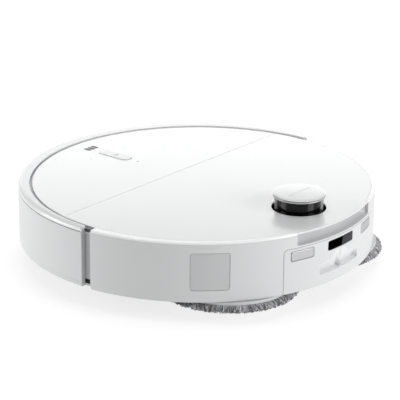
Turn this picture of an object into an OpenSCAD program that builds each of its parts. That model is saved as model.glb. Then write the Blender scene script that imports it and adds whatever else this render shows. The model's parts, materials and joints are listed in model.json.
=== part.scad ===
// Robot vacuum and mop, modelled as an assembly of separate pieces.
// Millimetres. The front faces -Y, the left side is +X, and the wheels stand on z = 0.

/* [Body] */
// Outer radius of the round body
body_r = 175; // [174:0.5:176]
// Height of the lower edge of the side wall
floor_z = 20; // [19.5:0.1:20.5]
// Height of the side wall's upper edge, below the top rim
wall_top = 76.2; // [76:0.1:76.4]
// Height of the flat top
top_z = 78.2; // [78:0.1:78.4]
// Height of the bumper's top
bumper_top = 79.1; // [78.8:0.1:79.4]
// Thickness of the outer wall
wall = 2.6; // [2.4:0.1:2.8]

/* [Top cover] */
// Radius of the round top cover
cover_r = 165.9; // [165.5:0.1:166]
// Rearward offset of the cover's centre
cover_y = 6.4; // [6.2:0.1:6.6]
// Position of the straight seam between the front cover and the lid
seam_y = -26; // [-27:0.5:-25]

/* [Turret] */
// Rearward position of the laser turret
turret_y = 124.7; // [124:0.1:126]
// Radius of the turret's cap
cap_r = 25.5; // [25:0.1:25.6]
// Height of the cap's edge when the turret is raised
cap_edge_z = 91.9; // [91.5:0.1:92.5]
// Radius of the turret's drum
drum_r = 20.5; // [20:0.1:21]

/* [Drive] */
// Radius of a drive wheel with its tyre
wheel_r = 35; // [34.5:0.1:35]
// Sideways position of a drive wheel's middle
wheel_x = 118; // [117.5:0.5:118.5]
// Rearward position of a drive wheel's axle
wheel_y = 8; // [7:0.5:9]
// Width of a drive wheel
wheel_w = 20; // [18:1:20]

/* [Cleaning] */
// Sideways position of a mop's shaft
mop_x = 68; // [68:0.5:69]
// Rearward position of a mop's shaft
mop_y = 95; // [94:0.5:95]
// Radius of a mop pad with its fringe
mop_r = 66; // [64:0.5:66]
// Radius of the main brush over its fins
brush_r = 20; // [19:0.5:20]

/* [Hidden] */

$fn = 128;
shaft_r = 3;
play = 0.05;
bore_r = shaft_r + play;
inner_r = body_r - wall;
wall_start = 5.6;
bumper_start = 2.1;
pan_z = floor_z + 3;
deck_low = 73.5;
deck_high = 76;
cover_low = 76.6;

// Rear panel, vent flaps and the finger recess
panel_half = 70;
panel_top = 63.5;
panel_seam = 0.4;
flap_angle = 43.3;
flap_w = 36;
flap_low = 31.7;
flap_high = 67.4;
hinge_z = 66;
grip_half = 57;
grip_floor = 65.5;
contact_angle = 73.2;
contact_w = 25.9;
contact_low = 51.5;
contact_h = 9;
contact_face = 174.4;
window_half = 19.6;
window_low = 51.7;
window_high = 61;

// Turret
drum_low = 61;
window_z = 77;
skirt_low = cap_edge_z - 3.1;
post_angles = [129, 219, 309];

// Button
button_front = -124;
button_rear = -87;
button_half = 6.75;
button_y = (button_front + button_rear) / 2;

// Drive
pivot_y = -38;
pivot_z = 34;
arm_in = 98;
arm_out = 105;
caster_y = -138;
roller_r = 8;
roller_y = caster_y + 5;
brush_y = -50;
brush_z = 22;
side_brush_x = -112;
side_brush_y = -104;
fan_x = 108;
fan_y = -96;
fan_r = 22;

// ---------------------------------------------------------------- shapes

module tube(inner, outer, low, high) {
    translate([0, 0, low]) difference() {
        cylinder(r = outer, h = high - low);
        translate([0, 0, -1]) cylinder(r = inner, h = high - low + 2);
    }
}

module arc_wall(inner, outer, low, high, from, to) {
    rotate([0, 0, from]) rotate_extrude(angle = to - from)
        translate([inner, low]) square([outer - inner, high - low]);
}

// Upright block with rounded corners in plan, centred on x and y
module slab(w, d, low, high, r) {
    translate([0, 0, low]) {
        translate([-w / 2 + r, -d / 2, 0]) cube([w - 2 * r, d, high - low]);
        translate([-w / 2, -d / 2 + r, 0]) cube([w, d - 2 * r, high - low]);
        for (x = [-1, 1], y = [-1, 1])
            translate([x * (w / 2 - r), y * (d / 2 - r), 0]) cylinder(r = r, h = high - low);
    }
}

// Block with rounded corners seen along y, from y = from to y = to
module rear_block(half, low, high, r, from, to) {
    translate([0, to, (low + high) / 2]) rotate([90, 0, 0])
        slab(2 * half, high - low, 0, to - from, r);
}

module rod_x(r, from, to) {
    translate([from, 0, 0]) rotate([0, 90, 0]) cylinder(r = r, h = to - from);
}

module at_cover() {
    translate([0, cover_y, 0]) children();
}

module at_turret() {
    translate([0, turret_y, 0]) children();
}

module pill(grow, low, high) {
    r = button_half + grow;
    translate([0, button_front + button_half, low]) cylinder(r = r, h = high - low);
    translate([0, button_rear - button_half, low]) cylinder(r = r, h = high - low);
    translate([-r, button_front + button_half, low])
        cube([2 * r, button_rear - button_front - 2 * button_half, high - low]);
}

// Closed coil spring along z, swept as a six-sided tube
function coil_point(a, k, rad, wire, turns, len) =
    let (c = rad + wire * cos(60 * k))
    [c * cos(a), c * sin(a), wire + (len - 2 * wire) * a / (360 * turns) + wire * sin(60 * k)];

module coil(rad, wire, turns, len) {
    steps = turns * 12;
    points = [for (i = [0 : steps], k = [0 : 5]) coil_point(i * 30, k, rad, wire, turns, len)];
    sides = [for (i = [0 : steps - 1], k = [0 : 5])
        [i * 6 + k, (i + 1) * 6 + k, (i + 1) * 6 + (k + 1) % 6, i * 6 + (k + 1) % 6]];
    first = [[for (k = [0 : 5]) k]];
    last = [[for (k = [5 : -1 : 0]) steps * 6 + k]];
    polyhedron(points, concat(first, sides, last));
}

// Scoop that makes room for the fingers under the lid's rear edge
module grip_scoop(half, low) {
    intersection() {
        rotate([0, 0, 60]) rotate_extrude(angle = 60) translate([173, low + 13]) circle(r = 13);
        translate([-half, 140, low - 1]) cube([2 * half, 60, 30]);
    }
}

module grip_block(outer, low, high) {
    intersection() {
        arc_wall(157, outer, low, high, 60, 120);
        translate([-grip_half - 1.6, 140, low]) cube([2 * grip_half + 3.2, 40, high - low]);
    }
}

// ---------------------------------------------------------------- chassis

module pan_openings() {
    for (side = [-1, 1])
        translate([side * 112, 1, 0]) slab(44, 98, floor_z - 1, pan_z + 1, 2);
    translate([0, brush_y + 1, 0]) slab(176.4, 50.4, floor_z - 1, pan_z + 1, 1);
    translate([0, caster_y, floor_z - 1]) cylinder(r = 15, h = 5);
    translate([side_brush_x, side_brush_y, floor_z - 1]) cylinder(r = 5, h = 5);
    for (side = [-1, 1])
        translate([side * mop_x, mop_y, floor_z - 1]) cylinder(r = 8, h = 5);
    for (i = [0 : 4])
        translate([fan_x - 13.2 + i * 6, fan_y - 10, floor_z - 1]) cube([2.4, 20, 5]);
}

module base_pan() {
    color("#4a4b4d") difference() {
        union() {
            translate([0, 0, floor_z]) cylinder(r = 167.5, h = 3);
            arc_wall(150, inner_r, floor_z, pan_z, wall_start, 180 - wall_start);
        }
        pan_openings();
    }
}

module inner_posts() {
    color("#4a4b4d") {
        for (x = [-64, 64], y = [-78, -125])
            translate([x, y, pan_z]) cylinder(r = 3, h = 37);
        for (a = [-65, -115])
            rotate([0, 0, a]) translate([161, -4, pan_z]) cube([3.2, 8, 44]);
    }
}

module panel_outline(grow) {
    rear_block(panel_half + grow, floor_z - 20, panel_top + grow, 3.5 + grow, 140, 180);
}

module flap_outline(grow) {
    translate([140, 0, (flap_low + flap_high) / 2]) rotate([90, 0, 90])
        slab(flap_w + 2 * grow, flap_high - flap_low + 2 * grow, 0, 40, 2 + grow);
}

module side_shell() {
    color("#f1f2f3") difference() {
        arc_wall(inner_r, body_r, floor_z, wall_top, wall_start, 180 - wall_start);
        panel_outline(panel_seam);
        rotate([0, 0, flap_angle]) flap_outline(0.4);
        rotate([0, 0, 180 - flap_angle]) flap_outline(0.4);
        translate([-grip_half, 140, grip_floor]) cube([2 * grip_half, 40, 20]);
    }
}

module top_rim() {
    color("#f7f7f8") difference() {
        rotate([0, 0, wall_start]) rotate_extrude(angle = 180 - 2 * wall_start) {
            translate([158, deck_high]) square([inner_r - 158 - 0.2, top_z - 0.1 - deck_high]);
            translate([170, wall_top + 0.2]) square([3.5, top_z - 0.3 - wall_top]);
            intersection() {
                translate([body_r - 1.5, top_z - 1.6]) circle(r = 1.5);
                translate([170, wall_top + 0.2]) square([6, 3]);
            }
        }
        at_cover() translate([0, 0, deck_high - 1]) cylinder(r = cover_r + 0.4, h = 6);
        translate([-grip_half, 140, deck_high - 1]) cube([2 * grip_half, 40, 6]);
    }
}

module deck() {
    color("#dddedf") difference() {
        union() {
            translate([0, 0, deck_low]) cylinder(r = 168, h = deck_high - deck_low);
            arc_wall(160, inner_r, deck_low, deck_high, wall_start, 180 - wall_start);
        }
        translate([0, 23, 0]) slab(164, 82, deck_low - 1, deck_high + 1, 9);
        at_turret() translate([0, 0, deck_low - 1]) cylinder(r = 28, h = 5);
        pill(1.6, deck_low - 1, deck_high + 1);
        translate([0, -76.5, deck_low - 1]) cylinder(r = 1.2, h = 5);
        grip_block(body_r + 5, deck_low - 1, deck_high + 1);
    }
}

module cover_disc(low, high, hole) {
    at_cover() difference() {
        union() {
            translate([0, 0, low]) cylinder(r = cover_r, h = high - low - 1);
            translate([0, 0, low]) cylinder(r = cover_r - 1, h = high - low);
            translate([0, 0, high - 1]) rotate_extrude() translate([cover_r - 1, 0]) intersection() {
                circle(r = 1);
                square(2);
            }
        }
        translate([0, turret_y - cover_y, low - 1]) cylinder(r = hole, h = high - low + 2);
    }
}

module front_cover() {
    color("#f7f7f8") difference() {
        cover_disc(deck_high, top_z, 26);
        translate([-200, seam_y - 0.2, deck_high - 1]) cube([400, 300, 6]);
        pill(0.25, deck_high - 1, top_z + 1);
        translate([0, -76.5, deck_high - 1]) cylinder(r = 1.2, h = 6);
        for (x = [-24.7, 24.7])
            translate([x, -117.8, deck_high - 1]) cylinder(r = 0.8, h = 6);
    }
}

module rear_panel() {
    color("#f3f4f5") difference() {
        intersection() {
            arc_wall(inner_r, body_r, floor_z, panel_top, 62, 118);
            panel_outline(0);
        }
        rear_block(window_half, window_low, window_high, 2, 160, 180);
        for (a = [contact_angle, 180 - contact_angle])
            rotate([0, 0, a]) contact_plate(0.15, 160, 180);
        port_outline(160, 180);
    }
}

module contact_plate(grow, from, to) {
    translate([from, 0, contact_low + contact_h / 2]) rotate([90, 0, 90])
        slab(contact_w + 2 * grow, contact_h + 2 * grow, 0, to - from, 2 + grow);
}

module charge_contacts() {
    color("#cfd1d3") for (a = [contact_angle, 180 - contact_angle])
        rotate([0, 0, a]) contact_plate(0, 171, contact_face);
}

module rear_window() {
    color("#0c0c0e") intersection() {
        arc_wall(171.5, body_r - 0.5, window_low - 1, window_high + 1, 80, 100);
        rear_block(window_half, window_low, window_high, 2, 160, 180);
    }
}

module port_outline(from, to) {
    translate([0, to, 0]) rotate([90, 0, 0]) linear_extrude(to - from)
        polygon([[-30, 31], [30, 31], [30, 41], [12, 45], [7, 49], [-7, 49], [-12, 45], [-30, 41]]);
}

module water_port() {
    color("#e6e7e8") difference() {
        intersection() {
            arc_wall(160, body_r - 0.3, 30, 50, 78, 102);
            port_outline(164, 180);
        }
        for (side = [0, 1]) mirror([side, 0, 0])
            translate([9, 181, 30]) rotate([24, 0, -8]) translate([0, -20, 0]) cube([24, 20, 30]);
        translate([0, 176, 40]) rotate([90, 0, 0]) cylinder(r1 = 8, r2 = 3, h = 8);
        translate([0, 176, 40]) rotate([90, 0, 0]) cylinder(r = 3, h = 20);
    }
}

module lid_grip() {
    color("#c9cbcd") difference() {
        grip_block(inner_r, grip_floor - 1.6, deck_high);
        grip_scoop(grip_half, grip_floor);
    }
}

module status_light() {
    color("#eef6ff") {
        translate([0, -76.5, deck_low]) cylinder(r = 1.1, h = top_z - deck_low);
        for (x = [-24.7, 24.7])
            translate([x, -117.8, deck_high]) cylinder(r = 0.75, h = top_z - deck_high - 0.2);
    }
}

// ---------------------------------------------------------------- inside

module battery() {
    color("#2d3a55") translate([0, -100, 0]) slab(114, 40, pan_z, 52, 4);
}

module battery_cover() {
    color("#4a4b4d") translate([0, -99, 0]) slab(120, 34, floor_z - 1.4, floor_z, 4);
}

module main_board() {
    color("#1f6b45") translate([0, -100, 0]) slab(140, 60, 60, 61.6, 2);
    color("#222222") {
        translate([-40, -112, 61.6]) cube([22, 22, 2]);
        translate([20, -108, 61.6]) cube([14, 14, 1.6]);
        translate([44, -84, 61.6]) cube([20, 8, 6]);
        translate([-5, button_y - 5, 61.6]) cube([10, 10, 5]);
    }
}

module fan_housing() {
    color("#3a3b3d") translate([fan_x, fan_y, 0]) difference() {
        translate([0, 0, pan_z]) cylinder(r = fan_r, h = 39);
        translate([0, 0, pan_z + 2]) cylinder(r = fan_r - 2.5, h = 35);
        translate([0, 0, pan_z + 30]) cylinder(r = 12, h = 20);
        translate([0, 0, pan_z - 1]) difference() {
            cylinder(r = fan_r - 5, h = 5);
            translate([0, 0, -1]) cylinder(r = 8, h = 7);
        }
    }
    color("#3a3b3d") translate([fan_x, fan_y, pan_z + 1]) cylinder(r = 3, h = 28);
}

module fan_impeller() {
    color("#d8d8d8") translate([fan_x, fan_y, 0]) difference() {
        union() {
            translate([0, 0, 38]) cylinder(r = fan_r - 4, h = 2);
            translate([0, 0, 34]) cylinder(r = 7, h = 18);
            for (a = [0 : 30 : 330])
                rotate([0, 0, a]) translate([6, -0.6, 39]) cube([fan_r - 10.5, 1.2, 12]);
        }
        translate([0, 0, 30]) cylinder(r = bore_r, h = 30);
    }
}

module brush_housing() {
    color("#3f4042") difference() {
        translate([-88, -74, floor_z]) cube([176, 50, 26]);
        translate([-86, -72, floor_z - 1]) cube([172, 46, 25]);
        translate([0, brush_y, brush_z]) rod_x(bore_r, -95, 95);
        translate([-55, -30, 31]) cube([110, 10, 9]);
    }
}

module brush_guard() {
    color("#2f3032") difference() {
        translate([0, brush_y + 1, 0]) slab(186, 62, floor_z - 1.6, floor_z, 5);
        translate([0, brush_y + 1, 0]) slab(177, 45, floor_z - 3, floor_z + 1, 2);
    }
}

module brush_motors() {
    color("#8b8d90") {
        translate([0, -61, 56]) rod_x(9, 6, 50);
        translate([50, -70, 46]) cube([12, 20, 20]);
        translate([side_brush_x, side_brush_y, 0]) difference() {
            translate([0, 0, pan_z]) cylinder(r = 14, h = 26);
            translate([0, 0, pan_z - 1]) cylinder(r = bore_r, h = 14);
        }
    }
}

module wheel_housings() {
    color("#3f4042") for (side = [-1, 1]) difference() {
        translate([side * 112, 1, 0]) slab(44, 98, pan_z - 3, deck_low, 2);
        translate([side * 112, 1, 0]) slab(40.8, 94.8, pan_z - 4, deck_low - 1.6, 2);
    }
}

module suspension_pins() {
    color("#b9bbbe") for (side = [-1, 1]) mirror([side < 0 ? 1 : 0, 0, 0])
        translate([0, pivot_y, pivot_z]) rod_x(shaft_r, 91.6, 107);
}

module lidar_well() {
    color("#101113") at_turret() {
        tube(26.4, 28, 40, cover_low - 0.1);
        translate([0, 0, 38]) cylinder(r = 28, h = 2);
    }
}

module water_tank() {
    color("#b8c6cf") difference() {
        translate([0, 80.5, 0]) slab(92, 27, pan_z, 71, 5);
        translate([0, 80.5, 0]) slab(88, 23, pan_z + 2, 69, 3);
        translate([0, 80.5, 60]) cylinder(r = 6, h = 20);
    }
}

module cliff_sensors() {
    color("#141416") for (a = [-112, -68, 20, 160])
        rotate([0, 0, a]) translate([150, 0, 0]) slab(9, 20, floor_z - 1, floor_z, 3);
}

module base_screws() {
    color("#9a9ca0") for (p = [[140, -60], [-140, -60], [80, -138], [-80, -138], [30, 20], [-30, 20],
            [0, 158], [0, 40]])
        translate([p[0], p[1], 0]) difference() {
            translate([0, 0, floor_z - 1.2]) cylinder(r = 3, h = 1.2);
            translate([0, 0, floor_z - 1.4]) {
                translate([-1.8, -0.4, 0]) cube([3.6, 0.8, 0.9]);
                translate([-0.4, -1.8, 0]) cube([0.8, 3.6, 0.9]);
            }
        }
}

module caster_socket() {
    color("#3f4042") translate([0, caster_y, 0]) difference() {
        translate([0, 0, floor_z]) cylinder(r = 15, h = 15);
        translate([0, 0, floor_z - 1]) cylinder(r = 14.4, h = 10);
        translate([0, 0, floor_z]) cylinder(r = 4 + play, h = 20);
    }
}

module vent_chambers() {
    color("#55575a") for (a = [flap_angle, 180 - flap_angle]) rotate([0, 0, a]) difference() {
        translate([137, -21, 28]) cube([34, 42, 44]);
        translate([130, -19.2, 29.8]) cube([50, 38.4, 40.4]);
        tube(171, 190, 25, 80);
        translate([169, -30, hinge_z]) rotate([-90, 0, 0]) cylinder(r = 1.6 + play, h = 60);
    }
}

// ---------------------------------------------------------------- bumper

module bumper_channels() {
    color("#3a3b3d") for (side = [0, 1]) mirror([side, 0, 0]) {
        arc_wall(167.6, 169.4, pan_z + 0.5, deck_low - 0.2, 1.6, wall_start - 0.4);
        arc_wall(167.8, body_r - 0.6, pan_z + 0.4, deck_low - 0.1, wall_start - 0.5, wall_start);
    }
    color("#f1f2f3") for (side = [0, 1]) mirror([side, 0, 0])
        arc_wall(167.5, 169.9, floor_z, pan_z + 0.2, 1.6, wall_start);
}

module bumper_springs() {
    color("#c4c6c9") for (a = [-65, -115])
        rotate([0, 0, a]) translate([164.2, 0, 62]) rotate([0, 90, 0]) coil(3, 0.4, 3, 5);
}

module bumper_hanger() {
    color("#5a5c5f") difference() {
        arc_wall(169.4, 171.6, 48, 70, 210, 330);
        for (a = [225 : 30 : 315])
            rotate([0, 0, a]) translate([160, -12, 53]) cube([20, 24, 12]);
    }
}

module bumper_profile() {
    round_r = 6;
    round_z = bumper_top - round_r;
    translate([inner_r, floor_z + 4.4]) square([wall, round_z - floor_z - 4.4]);
    translate([170.2, floor_z]) square([body_r - 0.5 - 170.2, 4.6]);
    difference() {
        union() {
            intersection() {
                translate([body_r - round_r, round_z]) circle(r = round_r);
                translate([body_r - round_r, round_z]) square(round_r);
            }
            translate([155, round_z]) square([body_r - round_r - 155, round_r]);
        }
        translate([150, round_z - 1]) square([body_r - round_r - 150, round_r - 1.6]);
        translate([body_r - round_r, round_z]) circle(r = round_r - wall);
    }
}

module bumper_shell() {
    color("#f3f4f5") difference() {
        rotate([0, 0, 180 - bumper_start]) rotate_extrude(angle = 180 + 2 * bumper_start)
            bumper_profile();
        at_cover() translate([0, 0.8, 60]) cylinder(r = cover_r + 3.2, h = 30);
        rotate_extrude() translate([body_r - 0.5, bumper_top - 5.2]) square([2, 0.5]);
        sensor_outline(0.1);
    }
}

module sensor_outline(grow) {
    rotate([0, 0, 180]) rear_block(24 + grow, 42, 58, 5, 150, 180);
}

module sensor_window() {
    color("#0c0c0e") intersection() {
        arc_wall(inner_r, body_r - 0.4, 38, 62, 250, 290);
        sensor_outline(0);
    }
}

// ---------------------------------------------------------------- button

module power_button() {
    color("#eceded") {
        pill(0, 75.7, top_z + 0.7);
        pill(1.2, 74.6, 75.7);
        translate([0, button_y, 68]) cylinder(r = 2, h = 7);
    }
}

module button_spring() {
    color("#c4c6c9") translate([0, button_y, 66.8]) coil(3.4, 0.5, 3, 7.6);
}

// ---------------------------------------------------------------- turret

module turret_drum() {
    color("#17181a") at_turret() difference() {
        translate([0, 0, drum_low]) cylinder(r = drum_r, h = window_z - drum_low);
        translate([0, 0, drum_low + 5]) cylinder(r = drum_r - 1.8, h = 20);
        translate([0, 0, drum_low - 1]) cylinder(r = bore_r, h = 10);
    }
}

module turret_window() {
    color("#1c1d20") at_turret() tube(drum_r - 1.6, drum_r, window_z, skirt_low);
}

module turret_cap() {
    color("#f4f4f5") at_turret() {
        rotate_extrude()
            polygon([[0, skirt_low], [drum_r + 1, skirt_low], [cap_r - 0.4, cap_edge_z - 0.7], [cap_r, cap_edge_z],
                [cap_r - 0.6, cap_edge_z + 0.6], [cap_r * 0.6, cap_edge_z + 1.5], [0, cap_edge_z + 1.8]]);
        for (a = post_angles) rotate([0, 0, a - 5]) rotate_extrude(angle = 10)
            polygon([[drum_r + 0.2, window_z - 1], [drum_r + 2.1, window_z - 1], [drum_r + 2.1, window_z + 6.5],
                [cap_r - 1.7, skirt_low + 1.4], [drum_r + 0.2, skirt_low + 1.4]]);
        tube(drum_r + 0.1, drum_r + 2.6, window_z - 2.5, window_z);
    }
}

module lidar_rotor() {
    color("#2b2c30") at_turret() difference() {
        union() {
            translate([0, 0, 70]) cylinder(r = 16, h = 8);
            translate([0, 0, drum_low + 1]) cylinder(r = shaft_r, h = 10);
            translate([-9, 4, 78]) cube([18, 6, 7]);
            translate([-9, -10, 78]) cube([18, 6, 7]);
        }
        for (x = [-4.5, 4.5]) translate([x, -3, 81.5]) rotate([90, 0, 0]) cylinder(r = 2.6, h = 9);
    }
}

// ---------------------------------------------------------------- lid and bin

module lid() {
    color("#f9f9fa") {
        difference() {
            cover_disc(cover_low, top_z, 26);
            translate([-200, seam_y - 200, cover_low - 1]) cube([400, 200, 6]);
        }
        intersection() {
            arc_wall(150, body_r - 0.2, cover_low + 0.6, top_z, 60, 120);
            translate([-grip_half + 0.4, 160, cover_low]) cube([2 * grip_half - 0.8, 20, 4]);
        }
    }
}

module dust_bin() {
    color("#8f9499") difference() {
        translate([0, 23, 0]) slab(160, 78, 26, 72, 8);
        translate([0, 23, 0]) slab(156, 74, 28, 73, 6);
        translate([-53, -20, 32]) cube([106, 10, 8]);
        translate([78, 40, 36]) cube([10, 14, 24]);
        translate([-88, 40, 36]) cube([10, 14, 24]);
    }
}

module bin_cover() {
    color("#e9eaeb") difference() {
        translate([0, 23, 0]) slab(160, 78, 72, 75.4, 8);
        translate([0, 34, 0]) slab(60, 34, 73.5, 77, 6);
    }
    color("#e9eaeb") translate([0, 34, 0]) slab(50, 6, 73.5, 75.4, 2);
}

module vent_flap() {
    color("#d2d4d6") {
        intersection() {
            arc_wall(173.2, body_r - 0.3, flap_low - 1, flap_high + 1, -10, 10);
            flap_outline(0);
        }
        for (y = [-14, 10])
            translate([169.6, y, hinge_z - 3]) cube([3.8, 4, 3]);
        difference() {
            translate([169, -20.6, hinge_z]) rotate([-90, 0, 0]) cylinder(r = 1.6, h = 41.2);
            translate([167, -10, hinge_z - 2]) cube([4, 20, 4]);
        }
    }
}

module vent_flap_left() {
    rotate([0, 0, flap_angle]) vent_flap();
}

module vent_flap_right() {
    rotate([0, 0, 180 - flap_angle]) vent_flap();
}

// ---------------------------------------------------------------- drive

module wheel_arm() {
    dy = wheel_y - pivot_y;
    dz = wheel_r - pivot_z;
    long = sqrt(dy * dy + dz * dz);
    color("#6d6f72") difference() {
        translate([0, pivot_y, pivot_z]) rotate([atan2(dz, dy), 0, 0]) {
            rod_x(7, arm_in, arm_out);
            translate([arm_in, 0, -7]) cube([arm_out - arm_in, long, 14]);
            translate([0, long, 0]) rod_x(12, arm_in, arm_out);
            translate([0, long, 0]) rod_x(shaft_r, arm_in, wheel_x + wheel_w / 2 + 1);
        }
        translate([0, pivot_y, pivot_z]) rod_x(bore_r, arm_in - 1, arm_out + 1);
    }
}

module wheel_hub() {
    color("#8e9195") translate([0, wheel_y, wheel_r]) difference() {
        translate([wheel_x, 0, 0]) rod_x(26, -wheel_w / 2, wheel_w / 2);
        translate([wheel_x, 0, 0]) rod_x(bore_r, -20, 20);
        for (a = [0 : 60 : 300])
            rotate([a, 0, 0]) translate([wheel_x + 6, 16, 0]) rod_x(5, 0, 10);
    }
}

module tyre() {
    color("#2a2a2c") translate([wheel_x, wheel_y, wheel_r]) difference() {
        rod_x(wheel_r, -wheel_w / 2, wheel_w / 2);
        rod_x(26, -wheel_w, wheel_w);
        for (a = [0 : 12 : 348]) rotate([a, 0, 0])
            translate([-wheel_w, -1.2, wheel_r - 2]) cube([2 * wheel_w, 2.4, 6]);
    }
}

module mirrored() {
    mirror([1, 0, 0]) children();
}

module caster_fork() {
    color("#3a3b3d") translate([0, caster_y, 0]) {
        translate([0, 0, 17]) cylinder(r = 13.8, h = 11);
        translate([0, 0, 27]) cylinder(r = 4, h = 7);
        for (x = [-11, 8.4]) {
            translate([x, roller_y - caster_y - 4, 8]) cube([2.6, 8, 10]);
            translate([0, roller_y - caster_y, roller_r]) rod_x(4, x, x + 2.6);
        }
        translate([0, roller_y - caster_y, roller_r]) rod_x(1.5, -10.5, 10.5);
    }
}

module caster_roller() {
    color("#c9cacc") translate([0, roller_y, roller_r]) difference() {
        rod_x(roller_r, -7.8, 7.8);
        rod_x(1.5 + play, -10, 10);
    }
}

// ---------------------------------------------------------------- brushes and mops

module main_brush() {
    color("#3d4145") translate([0, brush_y, brush_z]) {
        rod_x(13, -82, 82);
        rod_x(shaft_r, -87.5, 87.5);
        for (a = [0 : 60 : 300]) rotate([a, 0, 0])
            translate([-80, -1, 12]) cube([160, 2, brush_r - 12]);
    }
}

module side_brush() {
    color("#4a4d50") translate([side_brush_x, side_brush_y, 0]) {
        translate([0, 0, 8]) cylinder(r = 11, h = 7);
        translate([0, 0, 15]) cylinder(r = 4, h = 4);
        translate([0, 0, 18]) cylinder(r = shaft_r, h = 15);
        for (a = [45, 165, 285]) rotate([0, 0, a]) translate([8, -2, 9]) rotate([0, 10, 0])
            cube([38, 4, 2]);
    }
}

module mop_drive() {
    color("#77797c") difference() {
        translate([mop_x, mop_y, 34]) cylinder(r = 18, h = 28);
        translate([mop_x, mop_y, 33]) cylinder(r = 5 + play, h = 17);
    }
}

module mop_plate() {
    color("#3f4144") translate([mop_x, mop_y, 0]) {
        translate([0, 0, 17]) cylinder(r = 61.5, h = 2.5);
        translate([0, 0, 19.4]) cylinder(r = 5, h = 29);
    }
}

module mop_pad() {
    color("#8b8c90") translate([mop_x, mop_y, 0]) {
        translate([0, 0, 13.5]) cylinder(r = 60.5, h = 3.5);
        translate([0, 0, 10.4]) cylinder(r1 = mop_r - 2.5, r2 = mop_r, h = 3.2);
    }
}

module wheel_arm_left() { wheel_arm(); }
module wheel_arm_right() { mirrored() wheel_arm(); }
module wheel_hub_left() { wheel_hub(); }
module wheel_hub_right() { mirrored() wheel_hub(); }
module tyre_left() { tyre(); }
module tyre_right() { mirrored() tyre(); }
module mop_drive_left() { mop_drive(); }
module mop_drive_right() { mirrored() mop_drive(); }
module mop_plate_left() { mop_plate(); }
module mop_plate_right() { mirrored() mop_plate(); }
module mop_pad_left() { mop_pad(); }
module mop_pad_right() { mirrored() mop_pad(); }

base_pan();
side_shell();
top_rim();
deck();
front_cover();
rear_panel();
charge_contacts();
rear_window();
water_port();
lid_grip();
status_light();
battery();
battery_cover();
main_board();
fan_housing();
fan_impeller();
brush_housing();
brush_guard();
brush_motors();
wheel_housings();
inner_posts();
suspension_pins();
lidar_well();
water_tank();
cliff_sensors();
base_screws();
caster_socket();
vent_chambers();
bumper_channels();
bumper_springs();
bumper_hanger();
bumper_shell();
sensor_window();
power_button();
button_spring();
turret_drum();
turret_window();
turret_cap();
lidar_rotor();
lid();
dust_bin();
bin_cover();
vent_flap_left();
vent_flap_right();
wheel_arm_left();
wheel_arm_right();
wheel_hub_left();
wheel_hub_right();
tyre_left();
tyre_right();
caster_fork();
caster_roller();
main_brush();
side_brush();
mop_drive_left();
mop_drive_right();
mop_plate_left();
mop_plate_right();
mop_pad_left();
mop_pad_right();
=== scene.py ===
"""Robot vacuum: the looks of each piece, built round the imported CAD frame.

Metres, the front faces -Y, the left side is +X. Outlines and profiles are written in
millimetres and scaled by MM when they become meshes.
"""
import json
import math
import random

import bmesh
import bpy
from mathutils import Matrix, Vector


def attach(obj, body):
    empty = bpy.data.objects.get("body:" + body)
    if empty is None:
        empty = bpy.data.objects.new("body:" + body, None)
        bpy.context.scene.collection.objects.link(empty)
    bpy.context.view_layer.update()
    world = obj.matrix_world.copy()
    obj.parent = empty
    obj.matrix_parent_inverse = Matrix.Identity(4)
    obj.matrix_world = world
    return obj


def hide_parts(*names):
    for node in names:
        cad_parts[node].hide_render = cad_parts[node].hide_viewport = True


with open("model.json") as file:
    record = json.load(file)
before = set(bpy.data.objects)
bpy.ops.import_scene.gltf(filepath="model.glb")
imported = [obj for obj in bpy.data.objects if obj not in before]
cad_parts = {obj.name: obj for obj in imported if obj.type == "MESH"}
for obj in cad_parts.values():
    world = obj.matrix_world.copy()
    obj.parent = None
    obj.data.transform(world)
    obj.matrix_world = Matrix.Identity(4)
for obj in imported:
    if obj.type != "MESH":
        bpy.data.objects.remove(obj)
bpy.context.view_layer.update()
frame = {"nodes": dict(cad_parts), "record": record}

MM = 0.001

# Driving sizes of the body, in millimetres
BODY_R = 175.0
WALL = 2.6
FLOOR_Z = 20.0
WALL_TOP = 76.2
TOP_Z = 78.2
BUMPER_TOP = 79.1
COVER_R = 165.9
COVER_Y = 6.4
SEAM_Y = -26.0
WALL_START = 5.6
BUMPER_START = 2.1
TURRET = (0.0, 124.7)
DRUM_R = 20.5
CAP_R = 25.5
CAP_EDGE_Z = 91.9
POST_ANGLES = (129, 219, 309)
PANEL_HALF = 70.0
PANEL_TOP = 63.5
GRIP_HALF = 57.0
GRIP_FLOOR = 65.5
FLAP_ANGLE = 43.3
MOP = (68.0, 95.0)
BACK = math.radians(90.0) * BODY_R
WELL_R = 26.0
BUTTON_RISE = 0.7
PORT_HALF = 30
PORT_FOOT = 31
CONTACT_Z = 56
LIGHT_HOLES = ((0, -76.5, 1.1, 20), (-24.7, -117.8, 0.7, 12), (24.7, -117.8, 0.7, 12))
FLAP_SIDES = (("left", FLAP_ANGLE), ("right", 180 - FLAP_ANGLE))

# Studio: brightness of the floor and the room, and each light's name, place, size and watts
FLOOR_GREY = 0.25
FLOOR_GLOW = 0.78
ROOM_STRENGTH = 0.2
LIGHTS = (
    ("top_light", (-0.15, -0.1, 1.7), (1.5, 1.5), 15.0),
    ("side_light", (0.9, -1.07, 0.42), (0.9, 0.6), 10.0),
    ("rear_light", (-0.3, 1.36, 0.5), (0.8, 0.7), 12.0),
    ("far_panel_low", (-0.98, -0.8, 0.31), (1.7, 0.34), 2.95),
    ("far_panel_middle", (-0.98, -0.8, 0.53), (1.7, 0.1), 0.7),
    ("far_panel_high", (-0.98, -0.8, 0.66), (1.7, 0.16), 0.82),
)


def cos(degrees):
    return math.cos(math.radians(degrees))


def sin(degrees):
    return math.sin(math.radians(degrees))


# ------------------------------------------------------------------ camera, floor and light

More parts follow.
